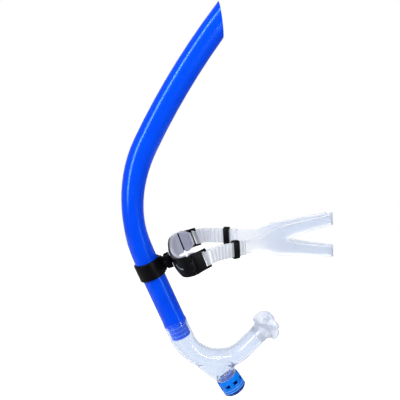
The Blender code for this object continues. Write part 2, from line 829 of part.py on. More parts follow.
def bracket_frame():
    """The U-shaped forehead shell with its windows, tenon hole and fold knuckles."""
    corner = spread(front_half, shell_path.length, 6)
    half_stations = [0.0, *spread(0.0, front_half, 5), *corner]
    stations = [-value for value in reversed(half_stations[1:])] + half_stations
    half = shell_thick / 2.0
    mesh = plate(shell_path, stations, -half, half, shell_half_height)
    shell = piece("bracket_frame", mesh, tilt_frame, black_plastic)
    centre = Vector((0.0, 0.0))
    knuckles = bmesh.new()
    cuts = bmesh.new()
    inner_end = knuckle_half + fit_gap
    for side in (-1.0, 1.0):
        knuckle(fold_heading, 1.0, side, inner_end, fold_half_height - edge, centre, knuckles)
        knuckle(fold_heading, 1.0, side, edge - fold_half_height, -inner_end, centre, knuckles)
        fold_cutter(fold_pin_outer / 2.0 + fit_gap, 2.0 * fold_half_height, side, centre, cuts)
        window = spread(window_start, window_end, 8)
        depth = 2.0 * shell_thick
        plate(
            shell_path,
            [window_start, *window],
            -depth,
            depth,
            window_half_height,
            side,
            into=cuts,
            lift=-window_drop,
        )
    slack = fit_gap
    low = (0.0, -tenon_width / 2.0 - slack, -tenon_height / 2.0 - slack)
    box(low, (3.0 * apex, tenon_width / 2.0 + slack, tenon_height / 2.0 + slack), into=cuts)
    cut_or_join(shell, knuckles, "UNION")
    cut_or_join(shell, cuts, "DIFFERENCE")


def wing(side, name, parent):
    """An end shell: fold knuckle, raised outer panel, and a round bar for the strap."""
    half = shell_thick / 2.0
    rails_end = wing_path.length
    stations = [0.0, *spread(0.0, wing_body, 6), rails_end]
    mesh = plate(wing_path, stations, -half, half, wing_half_height, side, fold_axis)
    shell = piece(name, mesh, parent, black_plastic)

    slot_half = strap_width / 2.0 + slot_clear
    start, heading = wing_path.at(wing_body)
    along = Vector((math.cos(heading), math.sin(heading)))
    out = Vector((math.sin(heading), -math.cos(heading)))
    corners = []
    for reach, offset in ((0.0, -1.0), (2.0, -1.0), (2.0, 1.0), (0.0, 1.0)):
        corner = start + along * (reach * slot_length) + out * (offset * 3.0 * shell_thick) - fold_axis
        corners.append((corner.y, corner.x * side))
    notch = prism(corners, lambda u, y, v: Vector((u, y, v)), -slot_half, slot_half)
    cut_or_join(shell, notch, "DIFFERENCE")

    extras = bmesh.new()
    bar = bar_point - fold_axis
    ring = arc((bar.y, bar.x * side), bar_outer / 2.0, 0.0, 2.0 * math.pi - math.pi / 6.0, 11)
    prism(ring, lambda u, y, v: Vector((u, y, v)), 0.3 * MM - bar_half, bar_half - 0.3 * MM, into=extras)
    knuckle(wing_heading, -1.0, side, -knuckle_half, knuckle_half, fold_axis, extras)
    panel = spread(boss_margin, wing_body - boss_margin, 4)
    plate(
        wing_path,
        [boss_margin, *panel],
        0.0,
        half + boss_thick,
        lambda distance: wing_half_height(distance) - boss_margin,
        side,
        fold_axis,
        extras,
    )
    cut_or_join(shell, extras, "UNION")
    hole = bmesh.new()
    fold_cutter(fold_pin_outer / 2.0 + fit_gap, 2.0 * fold_half_height, side, fold_axis, hole)
    cut_or_join(shell, hole, "DIFFERENCE")


def fold_pin(side, name, parent):
    """The hinge pin of one fold."""
    mesh = bmesh.new()
    fold_cutter(fold_pin_outer / 2.0, fold_half_height, side, fold_axis, mesh)
    piece(name, mesh, parent, steel)


def center_pad():
    """The soft pad inside the frame, with a recess for the tenon."""
    outer = -shell_thick / 2.0 - fit_gap
    end = shell_path.length + knuckle_reach - pad_split / 2.0
    half_stations = [0.0, *spread(0.0, front_half, 4), *spread(front_half, end, 7)]
    stations = [-value for value in reversed(half_stations[1:])] + half_stations

    def half_height(distance):
        return shell_half_height(distance) + eased(pad_brow, pad_overhang, abs(distance) / front_half)

    mesh = plate(shell_path, stations, outer - pad_thick, outer, half_height)
    pad = piece("center_pad", mesh, tilt_frame, grey_pad)
    half_width = tenon_width / 2.0 + fit_gap
    half_height = tenon_height / 2.0 + fit_gap
    recess_end = apex + shell_thick / 2.0 + edge + fit_gap
    recess = box((0.0, -half_width, -half_height), (recess_end, half_width, half_height))
    cut_or_join(pad, recess, "DIFFERENCE")


def wing_pad(side, name, parent):
    """The soft pad inside a wing, drawn in towards its free end, with two peg holes there."""
    outer = -shell_thick / 2.0 - fit_gap
    lead = knuckle_reach - pad_split / 2.0
    path = Path(
        wing_start - wing_along * lead,
        wing_heading,
        [(lead, 0.0), (wing_body, wing_angle)],
    )
    length = path.length - 1.0 * MM

    def half_height(distance):
        drawn = eased(-pad_overhang / 2.0, pad_draw_in, distance / length)
        swell = pad_swell * math.sin(math.pi * distance / length)
        return wing_half_height(distance - lead) - drawn + swell

    stations = [0.0, lead, *spread(lead, length, 6)]
    mesh = plate(path, stations, outer - pad_thick, outer, half_height, side, fold_axis)
    pad = piece(name, mesh, parent, grey_pad)
    point, heading = path.at(length - 3.0 * MM)
    out = Vector((math.sin(heading), -math.cos(heading)))
    holes = bmesh.new()
    for height in (-peg_spread / 2.0, peg_spread / 2.0):
        rings = []
        for offset in (outer - 2.0 * pad_thick, 0.0):
            centre = point + out * offset - fold_axis
            tangent = Vector((out.x, -out.y * side, 0.0))
            middle = Vector((centre.y, centre.x * side, height))
            up = Vector((0.0, 0.0, 1.0))
            rings.append(oval(middle, tangent, up, peg_outer / 2.0, peg_outer / 2.0, 10))
        loft(rings, into=holes)
    cut_or_join(pad, holes, "DIFFERENCE")


# The strap seen from the side: (u, v), drooping as it leaves the bar
strap_side = Path(
    (bar_point.y, 0.0),
    0.0,
    [(droop_length, -strap_droop), (strap_reach, 0.0)],
)
wrap_radius = bar_outer / 2.0 + strap_wrap_gap + strap_thick / 2.0


def run_point(reach, offset):
    """A point of the straight run behind the bar, in the strap's plan."""
    along = Vector((math.cos(strap_toe_in), -math.sin(strap_toe_in)))
    out = Vector((math.sin(strap_toe_in), math.cos(strap_toe_in)))
    return Vector((0.0, bar_point.x)) + along * reach + out * offset


def strap_half_plan():
    """The strap seen from above, from the right tail's end round its bar to the fold at the back."""
    near = keeper_reach - 12.0 * MM
    half_gap = strap_layers / 2.0
    points = [run_point(tail_length, half_gap)]
    rib_steps = int(round(2.0 * (tail_length - 3.0 * MM) / rib_pitch))
    for reach in spread(tail_length, 3.0 * MM, rib_steps):
        share = (near - reach) / near
        points.append(run_point(reach, eased(half_gap, wrap_radius, share)))
    outer_count = len(points)
    for k in range(7):
        turn = math.pi / 2.0 + math.pi * k / 6.0
        points.append(run_point(wrap_radius * math.cos(turn), wrap_radius * math.sin(turn)))
    for reach in (3.0 * MM, near / 2.0, near, strap_run):
        share = (near - reach) / near
        points.append(run_point(reach, -eased(half_gap, wrap_radius, share)))
    start = points[-1]
    end = Vector((strap_reach - fold_radius, fold_radius))
    pull = 0.35 * (end.x - start.x)
    first = start + Vector((math.cos(strap_toe_in), -math.sin(strap_toe_in))) * pull
    second = end - Vector((pull, 0.0))
    for t in spread(0.0, 1.0, 14):
        rest = 1.0 - t
        points.append(
            start * rest**3 + first * (3.0 * t * rest**2) + second * (3.0 * t**2 * rest) + end * t**3
        )
    for k in range(1, 4):
        turn = math.pi / 2.0 * (1.0 - k / 3.0)
        points.append(end + Vector((math.cos(turn), math.sin(turn) - 1.0)) * fold_radius)
    return points, outer_count


def strap_columns(x):
    """Places across the strap's width: rims, fields and the slot between the two bands."""
    widened = eased(strap_width / 2.0, web_half, (x - web_start) / (web_end - web_start))
    outer = widened
    if x > web_end:
        outer += (band_outer_half - web_half) * (x - web_end) / (strap_reach - web_end)
    opened = max(x - crotch_reach, 0.0) / (strap_reach - crotch_reach)
    inner = crotch_half + (band_inner_half - crotch_half) * opened**0.75
    half = [inner, inner + rim_width, outer - rim_width, outer]
    return [-value for value in reversed(half)] + half


def strap_point(plan, w):
    """A strap point in the bracket's axes, w up the strap's width."""
    point, heading = strap_side.at(plan.x)
    point += Vector((-math.sin(heading), math.cos(heading))) * w
    return Vector((point.x, plan.y, point.y))


def head_strap():
    """One silicone strap: ribbed tails folded round the wing bars, split bands behind."""
    half, outer_count = strap_half_plan()
    mirrored = [Vector((point.x, -point.y)) for point in reversed(half[:-1])]
    plan = half + mirrored
    last = len(plan) - 1
    mesh = bmesh.new()
    layer = mesh.verts.layers.deform.verify()
    rows = []
    for index, point in enumerate(plan):
        from_tail = min(index, last - index)
        ribbed = 0 < from_tail < outer_count
        row = []
        for column, w in enumerate(strap_columns(max(point.x, 0.0))):
            vert = mesh.verts.new(strap_point(point, w))
            rim = column in (0, 7) or (column in (3, 4) and point.x > crotch_reach)
            vert[layer][0] = float(from_tail % 2) if ribbed else float(rim)
            row.append(vert)
        rows.append(row)
    for index in range(last):
        split = min(plan[index].x, plan[index + 1].x) >= crotch_reach
        for column in range(7):
            if column == 3 and split:
                continue
            lower, upper = rows[index], rows[index + 1]
            mesh.faces.new((lower[column], lower[column + 1], upper[column + 1], upper[column]))
    strap = piece("head_strap", mesh, tilt_frame, clear_silicone)
    strap.vertex_groups.new(name="raised")
    skin = strap.modifiers.new("thickness", "SOLIDIFY")
    skin.thickness = strap_thick
    skin.offset = 0.0
    skin.vertex_group = "raised"
    skin.thickness_vertex_group = strap_thin
    skin.use_even_offset = True


def keeper_place(side):
    """Where a keeper sits on the strap, in the bracket's axes, and the strap's direction there."""
    first = run_point(keeper_reach, 0.0)
    second = run_point(keeper_reach + 1.0 * MM, 0.0)
    for point in (first, second):
        point.y *= side
    origin = strap_point(first, 0.0)
    return origin, (strap_point(second, 0.0) - origin).normalized()


def rounded(half_first, half_second, radius):
    """A rounded rectangle as a flat outline."""
    outline = []
    corners = ((1.0, 1.0), (-1.0, 1.0), (-1.0, -1.0), (1.0, -1.0))
    for k, (first, second) in enumerate(corners):
        centre = (first * (half_first - radius), second * (half_second - radius))
        outline += arc(centre, radius, k * math.pi / 2.0, (k + 1) * math.pi / 2.0, 3)
    return outline


def keeper(name, parent):
    """A loop that holds the folded tail against the strap."""
    half_thick = (strap_layers + strap_thick) / 2.0 + keeper_clear
    half_wide = strap_width / 2.0 + keeper_clear
    half = keeper_length / 2.0
    radius = 1.6 * MM
    rings = []
    for place, grow in (
        (-half + edge, keeper_wall),
        (half - edge, keeper_wall),
        (half, keeper_wall - edge),
        (half, 0.0),
        (-half, 0.0),
        (-half, keeper_wall - edge),
    ):
        outline = rounded(half_thick + grow, half_wide + grow, 0.6 * MM + grow * radius / keeper_wall)
        rings.append([Vector((place, y, z)) for y, z in outline])
    piece(name, loft(rings, closed=True), parent, black_plastic)


clear_scene()

blue_tube = finish("blue_tube", (0.0, 0.08, 0.95), 0.25)
blue_valve = finish("blue_valve", (0.0, 0.16, 1.0), 0.2, transmission=0.3)
clear_silicone = finish("clear_silicone", (0.86, 0.9, 0.95), 0.25, transmission=0.8)
black_plastic = finish("black_plastic", (0.012, 0.012, 0.015), 0.45)
grey_pad = finish("grey_pad", (0.38, 0.4, 0.48), 0.7)
steel = finish("steel", (0.6, 0.6, 0.6), 0.3, metallic=1.0)

# Frames, each on the axis that its pieces move on
root = frame("snorkel", None, -bite_point)
tube_up, tube_across = directions(math.pi / 2.0 + tube_lean)
collar_point, collar_heading = tube_path.at(collar_height)
mouth_frame = frame("mouth_frame", root, upright(mouth_point), -mouth_across, mouth_along)
drain_frame = frame("drain_frame", root, drain_end, -drain_across, drain_along)
collar_frame = frame("collar_frame", root, upright(collar_point), -tube_across, tube_up)
bracket_along = Vector((math.cos(bracket_pitch), 0.0, -math.sin(bracket_pitch)))
bracket_up = Vector((math.sin(bracket_pitch), 0.0, math.cos(bracket_pitch)))
pivot = Vector((pivot_reach, 0.0, 0.0))
tilt_frame = frame("tilt_frame", collar_frame, pivot, bracket_along, bracket_up)
left_fold = frame("left_fold", tilt_frame, Vector((fold_axis.y, -fold_axis.x, 0.0)))
right_fold = frame("right_fold", tilt_frame, Vector((fold_axis.y, fold_axis.x, 0.0)))

main_tube()
silicone_elbow()
mouthpiece()
purge_valve()
clamp_collar()
neck_link()
bracket_frame()
for fold_side, fold_name, fold_frame in ((-1.0, "left", left_fold), (1.0, "right", right_fold)):
    wing(fold_side, f"{fold_name}_wing", fold_frame)
    fold_pin(fold_side, f"{fold_name}_fold_pin", fold_frame)
    wing_pad(fold_side, f"{fold_name}_pad", fold_frame)
center_pad()
head_strap()
for keeper_side, keeper_name in ((-1.0, "left_keeper"), (1.0, "right_keeper")):
    keeper_origin, keeper_along = keeper_place(keeper_side)
    keeper_up = strap_point(Vector((keeper_reach, 0.0)), 1.0) - strap_point(Vector((keeper_reach, 0.0)), 0.0)
    keeper_up = (keeper_up - keeper_along * keeper_up.dot(keeper_along)).normalized()
    keeper_frame = frame(f"{keeper_name}_frame", tilt_frame, keeper_origin, keeper_along, keeper_up)
    keeper(keeper_name, keeper_frame)
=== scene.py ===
"""Looks of the front-mounted swim snorkel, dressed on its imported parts."""

import json
import math

import bmesh
import bpy
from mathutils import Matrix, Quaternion, Vector


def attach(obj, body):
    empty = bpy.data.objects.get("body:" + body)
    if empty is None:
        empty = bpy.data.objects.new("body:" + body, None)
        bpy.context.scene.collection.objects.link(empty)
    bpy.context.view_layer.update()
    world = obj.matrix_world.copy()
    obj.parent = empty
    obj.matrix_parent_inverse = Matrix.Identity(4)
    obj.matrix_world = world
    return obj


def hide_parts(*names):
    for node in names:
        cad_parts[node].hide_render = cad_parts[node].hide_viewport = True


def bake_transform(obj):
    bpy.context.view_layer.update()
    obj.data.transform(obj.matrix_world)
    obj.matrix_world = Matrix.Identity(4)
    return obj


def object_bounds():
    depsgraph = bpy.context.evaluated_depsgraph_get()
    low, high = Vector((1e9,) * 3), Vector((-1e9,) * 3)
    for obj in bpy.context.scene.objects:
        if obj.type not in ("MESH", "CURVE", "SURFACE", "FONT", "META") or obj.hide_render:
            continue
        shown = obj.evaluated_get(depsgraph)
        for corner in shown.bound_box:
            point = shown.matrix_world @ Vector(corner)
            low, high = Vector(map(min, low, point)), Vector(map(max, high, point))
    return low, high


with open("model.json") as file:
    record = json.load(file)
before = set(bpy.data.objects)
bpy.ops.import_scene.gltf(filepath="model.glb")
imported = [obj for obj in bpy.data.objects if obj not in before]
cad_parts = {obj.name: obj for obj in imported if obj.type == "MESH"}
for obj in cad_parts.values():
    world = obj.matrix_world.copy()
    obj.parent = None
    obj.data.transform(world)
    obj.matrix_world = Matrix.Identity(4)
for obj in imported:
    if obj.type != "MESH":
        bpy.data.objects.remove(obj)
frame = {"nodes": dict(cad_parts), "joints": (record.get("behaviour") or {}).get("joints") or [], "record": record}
cad_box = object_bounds()

MM = 0.001

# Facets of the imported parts
facet_gap = 0.004 * MM
smooth_angle = math.radians(38.0)
ease_angle = math.radians(40.0)

# The bracket's axes: u back from the tilt pin, y across the head, v up
tilt_joint = next(joint for joint in frame["joints"] if joint["name"] == "bracket_tilt")
tilt_point = Vector(tilt_joint["pos_m"])
bracket_slope = math.radians(20.9)
bracket_back = Vector((math.cos(bracket_slope), 0.0, math.sin(bracket_slope)))
bracket_up = Vector((-math.sin(bracket_slope), 0.0, math.cos(bracket_slope)))

# Shell and wings seen from above
shell_thick = 2.2 * MM
fit_gap = 0.3 * MM
apex = 7.0 * MM
front_half = 41.0 * MM
front_angle = math.radians(12.0)
corner_radius = 11.0 * MM
corner_angle = math.radians(68.0)
knuckle_reach = 2.7 * MM
fold_rest = math.radians(18.0)
wing_body = 12.5 * MM
wing_angle = math.radians(10.0)
slot_length = 4.2 * MM
center_half_height = 7.4 * MM
fold_half_height = 11.0 * MM
bar_half = 10.5 * MM
neck_half_width = 7.2 * MM
ridge_pitch = 1.3 * MM

# Pads
pad_thick = 3.6 * MM
pad_overhang = 1.0 * MM
pad_brow = 1.8 * MM
pad_draw_in = 3.6 * MM
pad_swell = 2.0 * MM
pad_split = 2.5 * MM
pad_lip = 1.5 * MM
pad_fold_lip = 0.5 * MM
pad_stop = 1.0 * MM
pad_crown = 0.07
pad_edge = 0.45
pad_border = 1.1
pad_rows = 28
pad_steps = 40
pad_lip_steps = 6
pad_bunching = 0.75
pad_crease = math.radians(60.0)
peg_radius = 0.75 * MM
peg_spread = 7.0 * MM
peg_inset = 3.0 * MM
peg_facets = 16

# Strap
strap_width = 15.0 * MM
strap_thick = 1.5 * MM
strap_thin = 0.55
strap_droop = math.radians(18.0)
droop_length = 14.0 * MM
strap_toe_in = math.radians(25.0)
strap_reach = 143.0 * MM
strap_run = 46.0 * MM
strap_layers = 2.0 * MM
wrap_radius = 2.65 * MM
tail_length = 47.0 * MM
rib_pitch = 4.2 * MM
rim_width = 1.6 * MM
rear_fold_radius = 6.0 * MM
web_start = 58.0 * MM
web_end = 84.0 * MM
web_half = 16.0 * MM
band_outer_half = 24.0 * MM
band_inner_half = 12.0 * MM
crotch_reach = 93.0 * MM
crotch_half = 1.4 * MM
crotch_ease = 6.0 * MM
crotch_opening = 0.75
keeper_reach = 35.0 * MM
layers_meet = keeper_reach - 12.0 * MM
tail_start = 3.0 * MM
wrap_rib = 0.2
wrap_steps = 12
back_pull = 0.35
back_steps = 56
rear_fold_steps = 8
rib_rows = 6.0
rim_places = (0.0, 0.45, 1.0)
field_places = (0.2, 0.4, 0.6, 0.8)
bend_start = keeper_reach - 5.0 * MM
bend_end = 4.0 * MM

# Purge cap, measured up from its base
purge_base = next(mount for mount in frame["record"]["mounts"] if mount["name"] == "purge_base")
cap_base = Vector(purge_base["pos_m"])
cap_down = Vector(purge_base["axis"])
cap_length = 17.0 * MM
# Heights of the painted highlight lines round the cap
cap_highlight_heights = (0.45 * cap_length, 4.9 * MM)
cap_foot = 4.5 * MM
seat_flange = 2.0 * MM
neck_end = cap_length + seat_flange + 2.0 * fit_gap
neck_length = 3.4 * MM
neck_bore = 10.0 * MM

# The tube's spigot, which shows through the cuff
tube_lean = math.radians(23.4)
tube_down = Vector((math.sin(tube_lean), 0.0, -math.cos(tube_lean)))
tube_points = [vertex.co for vertex in frame["nodes"]["main_tube"].data.vertices]
spigot_end = max(point.dot(tube_down) for point in tube_points)
spigot_rim = [point for point in tube_points if point.dot(tube_down) > spigot_end - 0.05 * MM]
spigot_foot = sum(spigot_rim, Vector()) / len(spigot_rim)
spigot_length = 20.0 * MM
spigot_beads = (0.6 * MM, 4.5 * MM, 9.0 * MM, 13.5 * MM)
cuff_bore = 11.2 * MM
cuff_rim = 1.0 * MM
cuff_rise = 0.6 * MM
elbow_voxel = 0.57 * MM

# The mouthpiece's socket on the mouth leg, measured back from the bite
bite = next(mount for mount in frame["record"]["mounts"] if mount["name"] == "bite")
socket_mouth = 19.4 * MM
socket_depth = 5.8 * MM
socket_half = (8.7 * MM, 12.4 * MM)
grip = 0.9 * MM
grip_slack = 0.15 * MM
mouth_voxel = 0.5 * MM


class Value:
    """A shader value; arithmetic on it adds Math nodes to its finish."""

    def __init__(self, finish, socket):
        self.finish = finish
        self.socket = socket

    def math(self, operation, *others):
        return self.finish.node("ShaderNodeMath", {"operation": operation}, [self, *others])

    def __add__(self, other):
        return self.math("ADD", other)

    def __sub__(self, other):
        return self.math("SUBTRACT", other)

    def __mul__(self, other):
        return self.math("MULTIPLY", other)

    def __rsub__(self, other):
        return self.finish.node("ShaderNodeMath", {"operation": "SUBTRACT"}, [other, self])

    __radd__ = __add__
    __rmul__ = __mul__

    def stepped(self, low, high):
        """0 below low, 1 above high, smooth between."""
        settings = {"interpolation_type": "SMOOTHSTEP"}
        return self.finish.node("ShaderNodeMapRange", settings, [self, low, high])

    def ring(self, place, core, edge):
        """1 within core of a place, 0 beyond edge, smooth between."""
        return 1.0 - (self - place).math("ABSOLUTE").stepped(core, edge)


class Finish:
    """One material, or the world, with its shader nodes."""

    def __init__(self, name, world=None):
        self.material = world or bpy.data.materials.new(name)
        self.material.use_nodes = True
        self.tree = self.material.node_tree
        self.tree.nodes.clear()
        kind = "World" if world else "Material"
        self.output = self.tree.nodes.new(f"ShaderNodeOutput{kind}")
        self.coordinates = None if world else self.node("ShaderNodeTexCoord", output="Object")

    def node(self, kind, settings=None, values=(), output=0):
        """Adds a node, sets it up, then feeds its sockets by name or place."""
        made = self.tree.nodes.new(kind)
        for name, value in (settings or {}).items():
            setattr(made, name, value)
        pairs = values.items() if isinstance(values, dict) else enumerate(values)
        for key, value in pairs:
            self.feed(made.inputs[key], value)
        return Value(self, made.outputs[output])

    def feed(self, socket, value):
        if isinstance(value, Value):
            self.tree.links.new(value.socket, socket)
        else:
            socket.default_value = value

    def noise(self, scale, detail=2.0, stretch=(1.0, 1.0, 1.0)):
        place = self.node("ShaderNodeMapping", {}, {"Vector": self.coordinates, "Scale": stretch})
        return self.node("ShaderNodeTexNoise", {}, {"Vector": place, "Scale": scale, "Detail": detail})

    def cells(self, scale):
        values = {"Vector": self.coordinates, "Scale": scale}
        return self.node("ShaderNodeTexVoronoi", {"feature": "F1"}, values)

    def along(self, origin, axis):
        """Distance of a surface point along an axis, in metres."""
        subtract, dot = {"operation": "SUBTRACT"}, {"operation": "DOT_PRODUCT"}
        offset = self.node("ShaderNodeVectorMath", subtract, [self.coordinates, origin])
        return self.node("ShaderNodeVectorMath", dot, [offset, axis], "Value")

    def light_paths(self):
        """Rays that see the studio straight or through glass, and rays that gloss sends on."""
        rays = {}
        for name in ("Is Camera Ray", "Is Transmission Ray", "Is Glossy Ray"):
            rays[name] = self.node("ShaderNodeLightPath", output=name)
        seen = rays["Is Camera Ray"].math("MAXIMUM", rays["Is Transmission Ray"])
        return seen, rays["Is Glossy Ray"]

    def mix(self, share, first, second):
        """A colour between two colours."""
        values = {0: share}
        for place, colour in ((6, first), (7, second)):
            values[place] = colour if isinstance(colour, Value) else (*colour, 1.0)
        return self.node("ShaderNodeMix", {"data_type": "RGBA"}, values, 2)

    def bump(self, height, strength, distance):
        values = {"Height": height, "Strength": strength, "Distance": distance}
        return self.node("ShaderNodeBump", {}, values)

    def shade(self, **sockets):
        """A Principled shader of its own, to be mixed with another."""
        values = {name.replace("_", " "): value for name, value in sockets.items()}
        return self.node("ShaderNodeBsdfPrincipled", {}, values)

    def show(self, shader):
        self.feed(self.output.inputs["Surface"], shader)
        return self.material

    def absorb(self, colour, density):
        """Tints the light by how far it goes through the piece."""
        values = {"Color": (*colour, 1.0), "Density": density}
        self.feed(self.output.inputs["Volume"], self.node("ShaderNodeVolumeAbsorption", {}, values))

    def surface(self, **sockets):
        return self.show(self.shade(**sockets))

    def show_mix(self, share, first, second):
        """Shows two shaders in the shares that a value gives."""
        return self.show(self.node("ShaderNodeMixShader", {}, [share, first, second]))


def tube_plastic():
    """Glossy blue tube with faint drawn lines; its spigot is matt, with a painted highlight line on each bead."""
    finish = Finish("blue_tube_plastic")
    drawn = finish.noise(1.0, 3.0, (1500.0, 1500.0, 40.0))
    cloud = finish.noise(38.0)
    scuff = finish.noise(420.0, 4.0).stepped(0.62, 0.78)
    colour = finish.mix(cloud, (0.0, 0.056, 0.84), (0.0, 0.080, 0.94))
    colour = finish.mix(scuff * 0.06, colour, (0.25, 0.42, 1.0))
    rise = finish.along(spigot_foot, -tube_down)
    gripped = finish.mix(cloud, (0.0, 0.085, 0.86), (0.0, 0.110, 0.94))
    # Painted highlight: a pale line round the spigot at each bead.
    for bead in spigot_beads:
        line = rise.ring(bead, 0.2 * MM, 0.7 * MM)
        gripped = finish.mix(line * 0.7, gripped, (0.12, 0.40, 1.0))
    glossy = finish.shade(
        Base_Color=colour,
        Roughness=0.17 + 0.03 * drawn + 0.04 * scuff,
        Specular_IOR_Level=0.28,
        Specular_Tint=(0.25, 0.65, 1.0, 1.0),
        Normal=finish.bump(drawn, 0.006, 0.0002),
    )
    matt = finish.shade(Base_Color=gripped, Roughness=0.3 + 0.1 * drawn, Specular_IOR_Level=0.0)
    free = rise.stepped(spigot_length - 0.2 * MM, spigot_length)
    return finish.show_mix(free, matt, glossy)


def cap_plastic():
    """Azure translucent cap, darker towards the bottom, with painted highlight lines round it and a painted shade
    on its lowest band.
    """
    finish = Finish("azure_cap_plastic")
    height = finish.along(cap_base, -cap_down)
    swirl = finish.noise(160.0, 2.0)
    speck = finish.noise(2200.0, 2.0)
    colour = finish.mix(swirl, (0.0, 0.21, 1.0), (0.0, 0.34, 1.0))
    lower = 1.0 - height.stepped(cap_foot, 0.8 * cap_length)
    colour = finish.mix(lower * 0.4, colour, (0.0, 0.13, 0.95))
    # Painted highlight: pale lines round the cap, one at its groove and one lower down.
    for ring in cap_highlight_heights:
        line = height.ring(ring, 0.15 * MM, 0.6 * MM)
        colour = finish.mix(line * 0.8, colour, (0.28, 0.62, 1.0))
    # Painted shade: the lowest band of the cap is darkened to deep navy.
    foot_shade = 1.0 - height.stepped(0.85 * cap_foot, cap_foot)
    colour = finish.mix(foot_shade * 0.92, colour, (0.0, 0.008, 0.30))
    return finish.surface(
        Base_Color=colour,
        Roughness=0.10 + 0.10 * swirl,
        Transmission_Weight=0.35,
        Specular_IOR_Level=0.25,
        Specular_Tint=(0.3, 0.7, 1.0, 1.0),
        Normal=finish.bump(speck, 0.05, 0.0002),
    )


def seat_plastic():
    """Valve seat: azure where it is thick at the flange, nearly clear up in the neck."""
    finish = Finish("clear_seat_plastic")
    height = finish.along(cap_base, -cap_down)
    swirl = finish.noise(200.0, 2.0)
    thin = height.stepped(neck_end - 0.5 * MM, neck_end + 0.5 * MM)
    colour = finish.mix(swirl, (0.0, 0.18, 0.95), (0.0, 0.27, 1.0))
    azure = finish.shade(Base_Color=colour, Roughness=0.2 + 0.1 * swirl, Specular_IOR_Level=0.08)
    pale = finish.mix(swirl, (0.95, 0.98, 1.0), (0.98, 0.99, 1.0))
    clear = finish.shade(
        Base_Color=pale,
        Roughness=0.1 + 0.1 * swirl,
        Transmission_Weight=1.0,
        IOR=1.03,
    )
    return finish.show_mix(thin, azure, clear)


def silicone_shaders(finish, tint, pale, skin, haze):
    """The clear and the milky side of a silicone."""
    clear = finish.shade(
        Base_Color=finish.mix(haze, tint, tuple(0.97 * part for part in tint)),
        Roughness=0.08 + 0.14 * haze,
        Transmission_Weight=1.0,
        IOR=1.25,
        Coat_Weight=0.5,
        Coat_Roughness=0.10,
        Normal=skin,
    )
    milky = finish.shade(Base_Color=pale, Roughness=0.22 + 0.2 * haze, Normal=skin)
    return clear, milky


def elbow_silicone(name, milk, tint, depth):
    """Clear soft silicone, a little milky, clearest where it is stretched over the spigot."""
    finish = Finish(name)
    haze = finish.noise(70.0, 3.0)
    ripple = finish.noise(240.0, 2.0)
    skin = finish.bump(ripple, 0.06, 0.0006)
    pale = finish.mix(haze, (0.82, 0.86, 0.94), (0.76, 0.81, 0.91))
    clear, milky = silicone_shaders(finish, tint, pale, skin, haze)
    finish.absorb((0.36, 0.50, 0.74), depth)
    past_spigot = finish.along(spigot_foot, tube_down).stepped(0.0, 5.0 * MM)
    share = (milk + 0.6 * milk * ripple) * (0.1 + 0.9 * past_spigot)
    return finish.show_mix(share, clear, milky)


def strap_silicone():
    """Strap silicone: tinted where it is thin; milkier on its raised rims and ribs, which also carry a painted
    highlight.
    """
    finish = Finish("clear_strap_silicone")
    haze = finish.noise(90.0, 3.0)
    ripple = finish.noise(300.0, 2.0)
    raised = finish.node("ShaderNodeAttribute", {"attribute_name": "raised"}, (), "Fac")
    skin = finish.bump(ripple, 0.04, 0.0005)
    tail = finish.mix(haze, (0.92, 0.95, 1.0), (0.88, 0.92, 0.99))
    band = finish.mix(haze, (0.72, 0.79, 0.92), (0.67, 0.75, 0.90))
    behind = finish.along(in_bracket(bar_point.y, 0.0, 0.0), bracket_back)
    banded = behind.stepped(strap_run, web_end)
    pale = finish.mix(banded, tail, band)
    # Painted highlight: the raised rims and ribs are paler.
    pale = finish.mix(raised * 0.8, pale, (0.97, 0.98, 1.0))
    clear, milky = silicone_shaders(finish, (0.99, 0.99, 1.0), pale, skin, haze)
    finish.absorb((0.36, 0.50, 0.74), 90.0)
    share = 0.30 + 0.12 * banded + 0.05 * ripple + 0.16 * raised
    return finish.show_mix(share, clear, milky)


def black_moulding(name, ridged=False):
    """Black moulded plastic with a fine grain and rubbed patches; the neck is ridged for grip."""
    finish = Finish(name)
    grain = finish.noise(2600.0, 3.0)
    rubbed = finish.noise(150.0, 3.0).stepped(0.45, 0.75)
    colour = finish.mix(rubbed, (0.002, 0.002, 0.003), (0.005, 0.005, 0.008))
    relief = grain * 0.2
    if ridged:
        across = finish.along(tilt_point, bracket_back) * (2.0 * math.pi / ridge_pitch)
        relief = relief + across.math("SINE")
    return finish.surface(
        Base_Color=colour,
        Roughness=0.34 + 0.14 * grain - 0.10 * rubbed,
        Specular_IOR_Level=0.06,
        Normal=finish.bump(relief, 0.6, 0.0002),
    )


def pad_rubber():
    """Grey soft pad with a matt grain; the eased border is paler."""
    finish = Finish("grey_pad_rubber")
    grain = finish.noise(3200.0, 2.0)
    pores = finish.cells(1500.0)
    cloud = finish.noise(120.0, 2.0)
    border = finish.node("ShaderNodeAttribute", {"attribute_name": "border"}, (), "Fac")
    colour = finish.mix(cloud, (0.39, 0.41, 0.52), (0.43, 0.45, 0.56))
    colour = finish.mix(grain * 0.25, colour, (0.50, 0.51, 0.60))
    colour = finish.mix(border * 0.7, colour, (0.64, 0.64, 0.73))
    return finish.surface(
        Base_Color=colour,
        Roughness=0.62 + 0.16 * grain,
        Specular_IOR_Level=0.35,
        Sheen_Weight=0.15,
        Normal=finish.bump(grain + pores * 0.6, 0.18, 0.0002),
    )


def pin_steel():
    """Plain turned pin with fine rings."""
    finish = Finish("turned_pin_steel")
    rings = finish.noise(1.0, 2.0, (400.0, 400.0, 5000.0))
    colour = finish.mix(rings, (0.50, 0.51, 0.53), (0.66, 0.67, 0.69))
    return finish.surface(Base_Color=colour, Metallic=1.0, Roughness=0.22 + 0.2 * rings)


